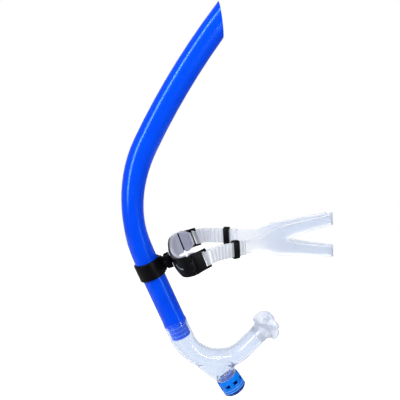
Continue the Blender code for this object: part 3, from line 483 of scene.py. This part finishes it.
def edge_softener():
    """A node group that shades a part's rounds smooth and keeps its sharp edges."""
    group = bpy.data.node_groups.new("smooth_rounds", "GeometryNodeTree")
    group.interface.new_socket("Mesh", in_out="INPUT", socket_type="NodeSocketGeometry")
    group.interface.new_socket("Mesh", in_out="OUTPUT", socket_type="NodeSocketGeometry")
    entry = group.nodes.new("NodeGroupInput")
    leave = group.nodes.new("NodeGroupOutput")
    angle = group.nodes.new("GeometryNodeInputMeshEdgeAngle")
    sharp = group.nodes.new("FunctionNodeCompare")
    sharp.data_type = "FLOAT"
    sharp.operation = "GREATER_THAN"
    sharp.inputs["B"].default_value = smooth_angle
    normal = group.nodes.new("GeometryNodeSetMeshNormal")
    normal.mode = "SHARPNESS"
    normal.inputs["Remove Custom"].default_value = True
    group.links.new(entry.outputs[0], normal.inputs["Mesh"])
    group.links.new(angle.outputs["Unsigned Angle"], sharp.inputs["A"])
    group.links.new(sharp.outputs[0], normal.inputs["Edge Sharpness"])
    group.links.new(normal.outputs[0], leave.inputs[0])
    return group


smooth_rounds = edge_softener()


def dress(node, material, ease=0.0):
    """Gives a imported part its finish, with joined facets and eased corners."""
    part = frame["nodes"][node]
    for slot in part.material_slots:
        slot.material = material
    weld = part.modifiers.new("join_facets", "WELD")
    weld.merge_threshold = facet_gap
    if ease:
        bevel = part.modifiers.new("ease_corners", "BEVEL")
        bevel.width = ease
        bevel.segments = 2
        bevel.limit_method = "ANGLE"
        bevel.angle_limit = ease_angle
        bevel.use_clamp_overlap = True
    part.modifiers.new("smooth_rounds", "NODES").node_group = smooth_rounds


def add_piece(name, mesh, material):
    """A new piece of the model from a bmesh in the shared frame."""
    bmesh.ops.recalc_face_normals(mesh, faces=mesh.faces[:])
    data = bpy.data.meshes.new(name)
    mesh.to_mesh(data)
    mesh.free()
    data.shade_smooth()
    data.materials.append(material)
    obj = bpy.data.objects.new(name, data)
    bpy.context.scene.collection.objects.link(obj)
    return obj


def settle(obj):
    """Applies the modifiers of a new piece to its mesh."""
    graph = bpy.context.evaluated_depsgraph_get()
    made = bpy.data.meshes.new_from_object(obj.evaluated_get(graph))
    made.name = obj.name
    obj.modifiers.clear()
    obj.data = made


def part_copy(node):
    """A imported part's mesh with its facets joined, to be reshaped."""
    mesh = bmesh.new()
    mesh.from_mesh(frame["nodes"][node].data)
    bmesh.ops.remove_doubles(mesh, verts=mesh.verts[:], dist=facet_gap)
    return mesh


def tighten(mesh, origin, axis, low, high, half_depth, half_breadth):
    """Draws a bore in between two heights, so that the soft wall lies tight on what it grips."""
    across = Vector((0.0, 1.0, 0.0)).cross(axis).normalized()
    for vert in mesh.verts:
        offset = vert.co - origin
        deep, broad = offset.dot(across), offset.y
        span = math.hypot(deep / (half_depth + grip_slack), broad / (half_breadth + grip_slack))
        if low - grip_slack < offset.dot(axis) < high + grip_slack and span < 1.0:
            vert.co -= across * (deep * grip / half_depth)
            vert.co.y -= broad * grip / half_breadth


def lift_rim(mesh, origin, axis, height, rise):
    """Lifts everything above a height, so that a rim meets the shoulder over it."""
    for vert in mesh.verts:
        if (vert.co - origin).dot(axis) > height:
            vert.co += axis * rise


def moulded_piece(name, node, mesh, material, voxel, rounds):
    """A soft moulding: the part's own form with even skin and melted corners."""
    obj = add_piece(name, mesh, material)
    remesh = obj.modifiers.new("even_skin", "REMESH")
    remesh.mode = "VOXEL"
    remesh.voxel_size = voxel
    melt = obj.modifiers.new("melted_corners", "SMOOTH")
    melt.factor = 0.5
    melt.iterations = rounds
    settle(obj)
    obj.data.shade_smooth()
    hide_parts(node)
    return obj


# Paths in the bracket's plan
def run_end(point, heading, length, turn):
    """Where a run of this length that turns through this angle ends, and its heading there."""
    chord = length if abs(turn) < 1e-9 else 2.0 * length / turn * math.sin(turn / 2.0)
    middle = heading + turn / 2.0
    return point + chord * Vector((math.cos(middle), math.sin(middle))), heading + turn


class Path:
    """Straights and arcs laid end to end; each run is a length and the angle it turns."""

    def __init__(self, start, heading, runs):
        self.runs = []
        self.length = 0.0
        point = Vector(start)
        for length, turn in runs:
            self.runs.append((self.length, point, heading, length, turn))
            self.length += length
            point, heading = run_end(point, heading, length, turn)

    def at(self, distance):
        """The point this far along, and the heading there."""
        run = self.runs[0]
        for candidate in self.runs:
            if distance >= candidate[0]:
                run = candidate
        begin, point, heading, length, turn = run
        past = distance - begin
        return run_end(point, heading, past, turn * past / length)


def outward(heading):
    """The direction out of the shell, away from the forehead."""
    return Vector((math.sin(heading), -math.cos(heading)))


shell_path = Path(
    (0.0, apex),
    0.0,
    [(front_half, front_angle), (corner_radius * corner_angle, corner_angle)],
)
shell_end, fold_heading = shell_path.at(shell_path.length)
fold_point = run_end(shell_end, fold_heading, knuckle_reach, 0.0)[0]
fold_axis = fold_point + outward(fold_heading) * (shell_thick / 2.0)
wing_heading = fold_heading + fold_rest
wing_along = Vector((math.cos(wing_heading), math.sin(wing_heading)))
wing_start = fold_axis - outward(wing_heading) * (shell_thick / 2.0) + wing_along * knuckle_reach
wing_path = Path(wing_start, wing_heading, [(wing_body, wing_angle), (slot_length, 0.0)])
bar_point = wing_path.at(wing_path.length)[0]


def in_bracket(u, y, v):
    """A point given in the bracket's axes, in the shared frame."""
    return tilt_point + bracket_back * u + Vector((0.0, y, 0.0)) + bracket_up * v


def eased(low, high, share):
    """From low to high as a share goes from 0 to 1, level at both ends."""
    share = min(max(share, 0.0), 1.0)
    return low + (high - low) * share * share * (3.0 - 2.0 * share)


def spread(low, high, steps):
    """Even steps from low to high, without low itself."""
    return [low + (high - low) * (k + 1) / steps for k in range(steps)]


def shell_half_height(distance):
    share = (abs(distance) - neck_half_width) / (shell_path.length - neck_half_width)
    return eased(center_half_height, fold_half_height, share)


def wing_half_height(distance):
    return eased(fold_half_height, bar_half, distance / wing_body)


def pad_stations(low, high, low_lip, high_lip, steps):
    """Places along a pad: close together on its eased ends, even between them."""
    turns = [math.pi / 2.0 * k / pad_lip_steps for k in range(pad_lip_steps)]
    eases = [1.0 - math.cos(turn) for turn in turns]
    first = [low + low_lip * ease for ease in eases]
    last = [high - high_lip * ease for ease in reversed(eases)]
    return first + [low + low_lip, *spread(low + low_lip, high - high_lip, steps)] + last


def cushion(name, path, ends, lips, half_height, side, material):
    """A soft pad on a shell: flat back, crowned face, eased border all round."""
    back = -shell_thick / 2.0 - fit_gap
    has_free_end = lips[1] == pad_lip
    mesh = bmesh.new()
    border = mesh.verts.layers.float.new("border")
    face, rear = [], []
    for station in pad_stations(*ends, *lips, pad_steps):
        point, heading = path.at(abs(station))
        mirror = side if station >= 0.0 else -side
        out = outward(heading)
        half = half_height(station)
        face_row, rear_row = [], []
        for row in range(pad_rows + 1):
            even = 2.0 * row / pad_rows - 1.0
            bunched = math.sin(math.pi / 2.0 * even)
            height = half * (pad_bunching * bunched + (1.0 - pad_bunching) * even)
            sides_in = (half - abs(height)) / pad_lip
            start_in, end_in = (station - ends[0]) / lips[0], (ends[1] - station) / lips[1]
            near = min(start_in, end_in, sides_in)
            ease = math.sqrt(max(0.0, 1.0 - (1.0 - min(max(near, 0.0), 1.0)) ** 2))
            crown = 1.0 - pad_crown * (height / half) ** 2
            depth = pad_thick * crown * (pad_edge + (1.0 - pad_edge) * ease)
            rim_in = min(sides_in, end_in) if has_free_end else sides_in
            for offset, store in ((back - depth, face_row), (back, rear_row)):
                place = point + out * offset
                vert = mesh.verts.new(in_bracket(place.y, place.x * mirror, height))
                vert[border] = max(0.0, 1.0 - rim_in / pad_border)
                store.append(vert)
        face.append(face_row)
        rear.append(rear_row)
    for grid in (face, rear):
        for first, second in zip(grid, grid[1:]):
            for row in range(pad_rows):
                mesh.faces.new((first[row], first[row + 1], second[row + 1], second[row]))
    for front_row, rear_row in ((face[0], rear[0]), (face[-1], rear[-1])):
        for row in range(pad_rows):
            mesh.faces.new((front_row[row], front_row[row + 1], rear_row[row + 1], rear_row[row]))
    for row in (0, pad_rows):
        for k in range(len(face) - 1):
            mesh.faces.new((face[k][row], face[k + 1][row], rear[k + 1][row], rear[k][row]))
    obj = add_piece(name, mesh, material)
    obj.data.set_sharp_from_angle(angle=pad_crease)
    return obj


def center_half(distance):
    return shell_half_height(distance) + eased(pad_brow, pad_overhang, abs(distance) / front_half)


wing_lead = knuckle_reach - pad_split / 2.0
wing_pad_path = Path(
    wing_start - wing_along * wing_lead,
    wing_heading,
    [(wing_lead, 0.0), (wing_body, wing_angle)],
)
wing_pad_length = wing_pad_path.length - pad_stop


def wing_pad_half(distance):
    drawn = eased(-pad_overhang / 2.0, pad_draw_in, distance / wing_pad_length)
    swell = pad_swell * math.sin(math.pi * distance / wing_pad_length)
    return wing_half_height(distance - wing_lead) - drawn + swell


def peg_holes(pad, side):
    """Two round holes near a wing pad's free end."""
    point, heading = wing_pad_path.at(wing_pad_length - peg_inset)
    out = outward(heading)
    mesh = bmesh.new()
    for height in (-peg_spread / 2.0, peg_spread / 2.0):
        loops = []
        for offset in (-3.0 * pad_thick, 0.0):
            centre = point + out * offset
            loop = []
            for k in range(peg_facets):
                turn = 2.0 * math.pi * k / peg_facets
                slip = Vector((-out.y, out.x)) * (peg_radius * math.cos(turn))
                place = centre + slip
                rise = height + peg_radius * math.sin(turn)
                loop.append(mesh.verts.new(in_bracket(place.y, place.x * side, rise)))
            loops.append(loop)
        mesh.faces.new(loops[0])
        mesh.faces.new(loops[1])
        for k in range(peg_facets):
            follow = (k + 1) % peg_facets
            mesh.faces.new((loops[0][k], loops[0][follow], loops[1][follow], loops[1][k]))
    cutter = add_piece("peg_cutter", mesh, pad.data.materials[0])
    cut = pad.modifiers.new("peg_holes", "BOOLEAN")
    cut.operation = "DIFFERENCE"
    cut.object = cutter
    settle(pad)
    bpy.data.objects.remove(cutter, do_unlink=True)


# Strap
def run_point(reach, offset):
    """A point of the straight run behind the bar, in the strap's plan."""
    along = Vector((math.cos(strap_toe_in), -math.sin(strap_toe_in)))
    out = Vector((math.sin(strap_toe_in), math.cos(strap_toe_in)))
    return Vector((0.0, bar_point.x)) + along * reach + out * offset


def strap_point(plan, side, w):
    """A strap point in the shared frame, w up the strap's width."""
    radius = droop_length / strap_droop
    turn = min(plan.x / radius, strap_droop)
    past = max(plan.x - droop_length, 0.0)
    u = bar_point.y + radius * math.sin(turn) + past * math.cos(turn)
    v = -radius * (1.0 - math.cos(turn)) - past * math.sin(turn)
    return in_bracket(u + math.sin(turn) * w, plan.y * side, v + math.cos(turn) * w)


def layer_offset(reach, gap):
    """How far a layer of the strap lies from its middle, wider towards the bar."""
    return eased(gap, wrap_radius, (layers_meet - reach) / layers_meet)


def strap_outer_half(x):
    widened = eased(strap_width / 2.0, web_half, (x - web_start) / (web_end - web_start))
    if x > web_end:
        widened += (band_outer_half - web_half) * (x - web_end) / (strap_reach - web_end)
    return widened


def strap_inner_half(x):
    opened = max(x - crotch_reach, 0.0) / (strap_reach - crotch_reach)
    return crotch_half + (band_inner_half - crotch_half) * opened**crotch_opening


def strap_columns(x):
    """Places across the width, from the lower edge to the upper one, with how thick each is."""
    inner, outer = strap_inner_half(x), strap_outer_half(x)
    split = eased(0.0, 1.0, (x - crotch_reach + crotch_ease) / crotch_ease)
    half = []
    for place in rim_places:
        raised = split * (1.0 if place < 1.0 else 0.0)
        half.append((inner + rim_width * place, raised))
    for share in field_places:
        half.append((inner + rim_width + (outer - inner - 2.0 * rim_width) * share, 0.0))
    for place in reversed(rim_places):
        half.append((outer - rim_width * place, 1.0 if place < 1.0 else 0.0))
    return [(-w, raised) for w, raised in reversed(half)] + half


def strap_skin(name, rows, material):
    """A closed sheet of silicone from rows of (plan point, side, rib height or None)."""
    half_thick = strap_thick / 2.0
    places, heights = [], []
    for plan, side, rib in rows:
        columns = strap_columns(max(plan.x, 0.0))
        places.append([strap_point(plan, side, w) for w, raised in columns])
        lifts = [rib if rib is not None else raised for w, raised in columns]
        heights.append([half_thick * (strap_thin + (1.0 - strap_thin) * lift) for lift in lifts])
    mesh = bmesh.new()
    thickened = mesh.verts.layers.float.new("raised")
    width = len(places[0])
    count = len(places)
    skins = ([], [])
    for i in range(count):
        before, after = places[max(i - 1, 0)], places[min(i + 1, count - 1)]
        row = ([], [])
        for j in range(width):
            along = after[j] - before[j]
            across = places[i][min(j + 1, width - 1)] - places[i][max(j - 1, 0)]
            normal = along.cross(across).normalized()
            for sign, store in ((1.0, row[0]), (-1.0, row[1])):
                vert = mesh.verts.new(places[i][j] + normal * (sign * heights[i][j]))
                vert[thickened] = (heights[i][j] / half_thick - strap_thin) / (1.0 - strap_thin)
                store.append(vert)
        skins[0].append(row[0])
        skins[1].append(row[1])
    middle = width // 2 - 1
    used = set()
    for i in range(count - 1):
        slotted = min(rows[i][0].x, rows[i + 1][0].x) >= crotch_reach
        for j in range(width - 1):
            if j == middle and slotted:
                continue
            used.add((i, j))
    top, bottom = skins
    for i, j in used:
        mesh.faces.new((top[i][j], top[i + 1][j], top[i + 1][j + 1], top[i][j + 1]))
        mesh.faces.new((bottom[i][j], bottom[i][j + 1], bottom[i + 1][j + 1], bottom[i + 1][j]))
        for beside, start, end in (
            ((i, j - 1), (i, j), (i + 1, j)),
            ((i, j + 1), (i, j + 1), (i + 1, j + 1)),
            ((i - 1, j), (i, j), (i, j + 1)),
            ((i + 1, j), (i + 1, j), (i + 1, j + 1)),
        ):
            if beside not in used:
                (a, b), (c, d) = start, end
                mesh.faces.new((top[a][b], top[c][d], bottom[c][d], bottom[a][b]))
    obj = add_piece(name, mesh, material)
    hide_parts("head_strap")
    return obj


def rib_height(reach):
    """How far the ribs stand up here, from 0 between them to 1 on top of one."""
    wave = math.cos(2.0 * math.pi * (tail_length - reach) / rib_pitch)
    return min(1.0, max(0.0, 0.5 - 0.75 * wave))


def rib_steps(low, high):
    """How many rows of points the ribs need between two places."""
    return int(round(rib_rows * (high - low) / rib_pitch))


def strap_end_rows(side):
    """The ribbed tail, the turn round the wing's bar and the inner run up to the keeper."""
    gap = strap_layers / 2.0
    rows = [(run_point(tail_length, gap), side, 0.0)]
    for reach in spread(tail_length, tail_start, rib_steps(tail_start, tail_length)):
        rows.append((run_point(reach, layer_offset(reach, gap)), side, rib_height(reach)))
    for k in range(wrap_steps + 1):
        turn = math.pi / 2.0 + math.pi * k / wrap_steps
        around = run_point(wrap_radius * math.cos(turn), wrap_radius * math.sin(turn))
        rows.append((around, side, None if k > wrap_steps // 4 else wrap_rib))
    for reach in spread(0.0, keeper_reach, rib_steps(0.0, keeper_reach)):
        rows.append((run_point(reach, -layer_offset(reach, gap)), side, rib_height(reach)))
    return rows


def strap_back_rows():
    """From one keeper along the web and bands, round the back of the head, to the other keeper."""
    gap = strap_layers / 2.0
    reaches = [keeper_reach, *spread(keeper_reach, strap_run, rib_steps(keeper_reach, strap_run))]
    half = [run_point(reach, -gap) for reach in reaches]
    ribs = [rib_height(reach) for reach in reaches]
    start = half[-1]
    end = Vector((strap_reach - rear_fold_radius, rear_fold_radius))
    pull = back_pull * (end.x - start.x)
    first = start + Vector((math.cos(strap_toe_in), -math.sin(strap_toe_in))) * pull
    second = end - Vector((pull, 0.0))
    for t in spread(0.0, 1.0, back_steps):
        rest = 1.0 - t
        near = start * rest**3 + first * (3.0 * t * rest**2)
        half.append(near + second * (3.0 * t**2 * rest) + end * t**3)
    for k in range(1, rear_fold_steps + 1):
        turn = math.pi / 2.0 * (1.0 - k / rear_fold_steps)
        half.append(end + Vector((math.cos(turn), math.sin(turn) - 1.0)) * rear_fold_radius)
    ribs += [None] * (len(half) - len(ribs))
    rows = [(point, 1.0, rib) for point, rib in zip(half, ribs)]
    rows += [(point, -1.0, rib) for point, rib in reversed(list(zip(half[:-1], ribs)))]
    return rows


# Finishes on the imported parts
tube_blue = tube_plastic()
cap_azure = cap_plastic()
black = black_moulding("black_satin_moulding")
neck_black = black_moulding("black_ridged_moulding", ridged=True)
pad_grey = pad_rubber()
elbow_clear = elbow_silicone("clear_elbow_silicone", milk=0.04, tint=(0.80, 0.84, 0.91), depth=35.0)
mouth_clear = elbow_silicone("clear_mouth_silicone", milk=0.26, tint=(0.94, 0.955, 0.98), depth=25.0)
flap_clear = elbow_silicone("clear_flap_silicone", milk=0.05, tint=(0.97, 0.98, 0.99), depth=10.0)
strap_clear = strap_silicone()

dress("main_tube", tube_blue)
dress("purge_seat", seat_plastic())
dress("purge_cap", cap_azure, ease=0.15 * MM)
dress("purge_flap", flap_clear)
dress("neck_link", neck_black, ease=0.3 * MM)
for node in ("clamp_collar", "bracket_frame", "left_wing", "right_wing"):
    dress(node, black, ease=0.3 * MM)
for node in ("tilt_pin", "left_keeper", "right_keeper"):
    dress(node, black, ease=0.2 * MM)
for node in ("left_fold_pin", "right_fold_pin"):
    dress(node, pin_steel(), ease=0.1 * MM)

# Soft mouldings
elbow_form = part_copy("silicone_elbow")
tighten(elbow_form, spigot_foot, -tube_down, 0.0, spigot_length, cuff_bore, cuff_bore)
lift_rim(elbow_form, spigot_foot, -tube_down, spigot_length - cuff_rim, cuff_rise)
tighten(elbow_form, cap_base, -cap_down, neck_end, neck_end + neck_length, neck_bore, neck_bore)
elbow = moulded_piece("elbow_moulding", "silicone_elbow", elbow_form, elbow_clear, elbow_voxel, rounds=7)
mouth_form = part_copy("mouthpiece")
mouth_foot = Vector(bite["pos_m"]) - Vector(bite["axis"]) * socket_mouth
tighten(mouth_form, mouth_foot, Vector(bite["axis"]), 0.0, socket_depth, *socket_half)
mouth = moulded_piece("mouth_moulding", "mouthpiece", mouth_form, mouth_clear, mouth_voxel, rounds=6)
for moulding in (elbow, mouth):
    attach(moulding, "tube_assembly")

# Pads
center_end = shell_path.length + knuckle_reach - pad_split / 2.0
fold_lips = (pad_fold_lip, pad_fold_lip)
center_span = (-center_end, center_end)
pad = cushion("center_cushion", shell_path, center_span, fold_lips, center_half, 1.0, pad_grey)
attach(pad, "bracket")
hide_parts("center_pad")
for side, name in ((-1.0, "left"), (1.0, "right")):
    reach = (0.0, wing_pad_length)
    lips = (pad_fold_lip, pad_lip)
    pad = cushion(f"{name}_cushion", wing_pad_path, reach, lips, wing_pad_half, side, pad_grey)
    peg_holes(pad, side)
    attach(pad, f"{name}_wing_body")
    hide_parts(f"{name}_pad")

# Strap: a back that rides on the bracket and two ends
back = strap_skin("strap_back", strap_back_rows(), strap_clear)
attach(back, "bracket")
for side, name in ((-1.0, "left"), (1.0, "right")):
    end = strap_skin(f"strap_end_{name}", strap_end_rows(side), strap_clear)
    start_plan, end_plan = run_point(bend_start, 0.0), run_point(bend_end, 0.0)
    strap_point(start_plan, side, 0.0)
    strap_point(end_plan, side, 0.0)
    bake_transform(end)


# Floor, light and camera
studio_middle = Vector((-0.076, 0.0, 0.12))
elbow_middle = Vector((-0.03, 0.0, -0.03))
floor_drop = 0.035
floor_back = 0.3
floor_half = 0.5
floor_glow = 0.74
floor_in_gloss = 0.3
fill_light = 0.32
room_in_gloss = 0.3
white_behind = (0.6, 0.97)


def studio_floor(level):
    """A pale floor that is seen as white but keeps the shadow, dimmer where gloss shows it."""
    mesh = bmesh.new()
    bmesh.ops.create_grid(mesh, x_segments=1, y_segments=1, size=floor_half)
    finish = Finish("pale_studio_floor")
    paint = finish.shade(Base_Color=(0.9, 0.9, 0.9, 1.0), Roughness=0.9, Specular_IOR_Level=0.0)
    glow = finish.node("ShaderNodeEmission", {}, {"Strength": floor_glow})
    lit = finish.node("ShaderNodeAddShader", {}, [paint, glow])
    seen, glossed = finish.light_paths()
    material = finish.show_mix(seen.math("MAXIMUM", glossed * floor_in_gloss), paint, lit)
    floor = add_piece("studio_floor", mesh, material)
    floor.location = (studio_middle.x, floor_back, level)


def studio_world():
    """White where it is seen, an even fill, and a dimmer room in front that only gloss shows."""
    world = bpy.data.worlds.new("studio_world")
    bpy.context.scene.world = world
    finish = Finish("studio_world", world)
    seen, glossed = finish.light_paths()
    direction = finish.node("ShaderNodeTexCoord", output="Generated")
    ahead = finish.node("ShaderNodeSeparateXYZ", {}, [direction], "Y").stepped(*white_behind)
    room = room_in_gloss - fill_light + (1.0 - room_in_gloss) * ahead
    strength = seen + (1.0 - seen) * (fill_light + glossed * room)
    values = {"Color": (1.0, 1.0, 1.0, 1.0), "Strength": strength}
    finish.show(finish.node("ShaderNodeBackground", {}, values))


def softbox(name, place, aim, size, power, roll=0.0, gloss_only=False):
    """A soft lamp that faces a point; a lamp for gloss alone only draws its line on shiny pieces."""
    lamp = bpy.data.lights.new(name, "AREA")
    lamp.shape = "RECTANGLE"
    lamp.size, lamp.size_y = size
    lamp.energy = power
    obj = bpy.data.objects.new(name, lamp)
    obj.location = place
    obj.rotation_mode = "QUATERNION"
    facing = (aim - place).to_track_quat("-Z", "Y")
    obj.rotation_quaternion = facing @ Quaternion((0.0, 0.0, 1.0), roll)
    obj.visible_transmission = False
    obj.visible_diffuse = not gloss_only
    bpy.context.scene.collection.objects.link(obj)


def photo_camera():
    """The camera at the photo's angle and framing."""
    target = Vector((-76.654, 0.0, 138.932)) * MM
    azimuth, elevation = math.radians(-7.0), math.radians(11.5)
    distance, span = 0.95, 0.422
    back = Vector(
        (
            math.sin(azimuth) * math.cos(elevation),
            -math.cos(azimuth) * math.cos(elevation),
            math.sin(elevation),
        )
    )
    data = bpy.data.cameras.new("photo_camera")
    data.sensor_width = 36.0
    data.lens = data.sensor_width * distance / span
    camera = bpy.data.objects.new("photo_camera", data)
    camera.location = target + back * distance
    camera.rotation_mode = "QUATERNION"
    camera.rotation_quaternion = (-back).to_track_quat("-Z", "Y")
    bpy.context.scene.collection.objects.link(camera)
    bpy.context.scene.camera = camera


studio_floor(cad_box[0].z - floor_drop)
studio_world()
left_place = studio_middle + Vector((-0.95, -0.58, 0.42))
left_size = (0.2, 1.3)
softbox("left_strip", left_place, studio_middle, left_size, power=8.5)
softbox("left_line", left_place, studio_middle, left_size, power=26.0, gloss_only=True)
top_place = studio_middle + Vector((0.1, -0.9, 0.9))
softbox("top_box", top_place, studio_middle, (0.9, 0.30), power=8.5)
right_place = Vector((0.80, -0.72, 0.18))
softbox("right_strip", right_place, studio_middle, (0.12, 0.4), power=2.4)
bend_place = Vector((0.345, -0.815, 0.25))
bend_roll = math.radians(-32.0)
softbox("bend_line", bend_place, elbow_middle, (0.55, 0.12), power=4.5, roll=bend_roll, gloss_only=True)
photo_camera()
bpy.context.scene.view_settings.view_transform = "Standard"
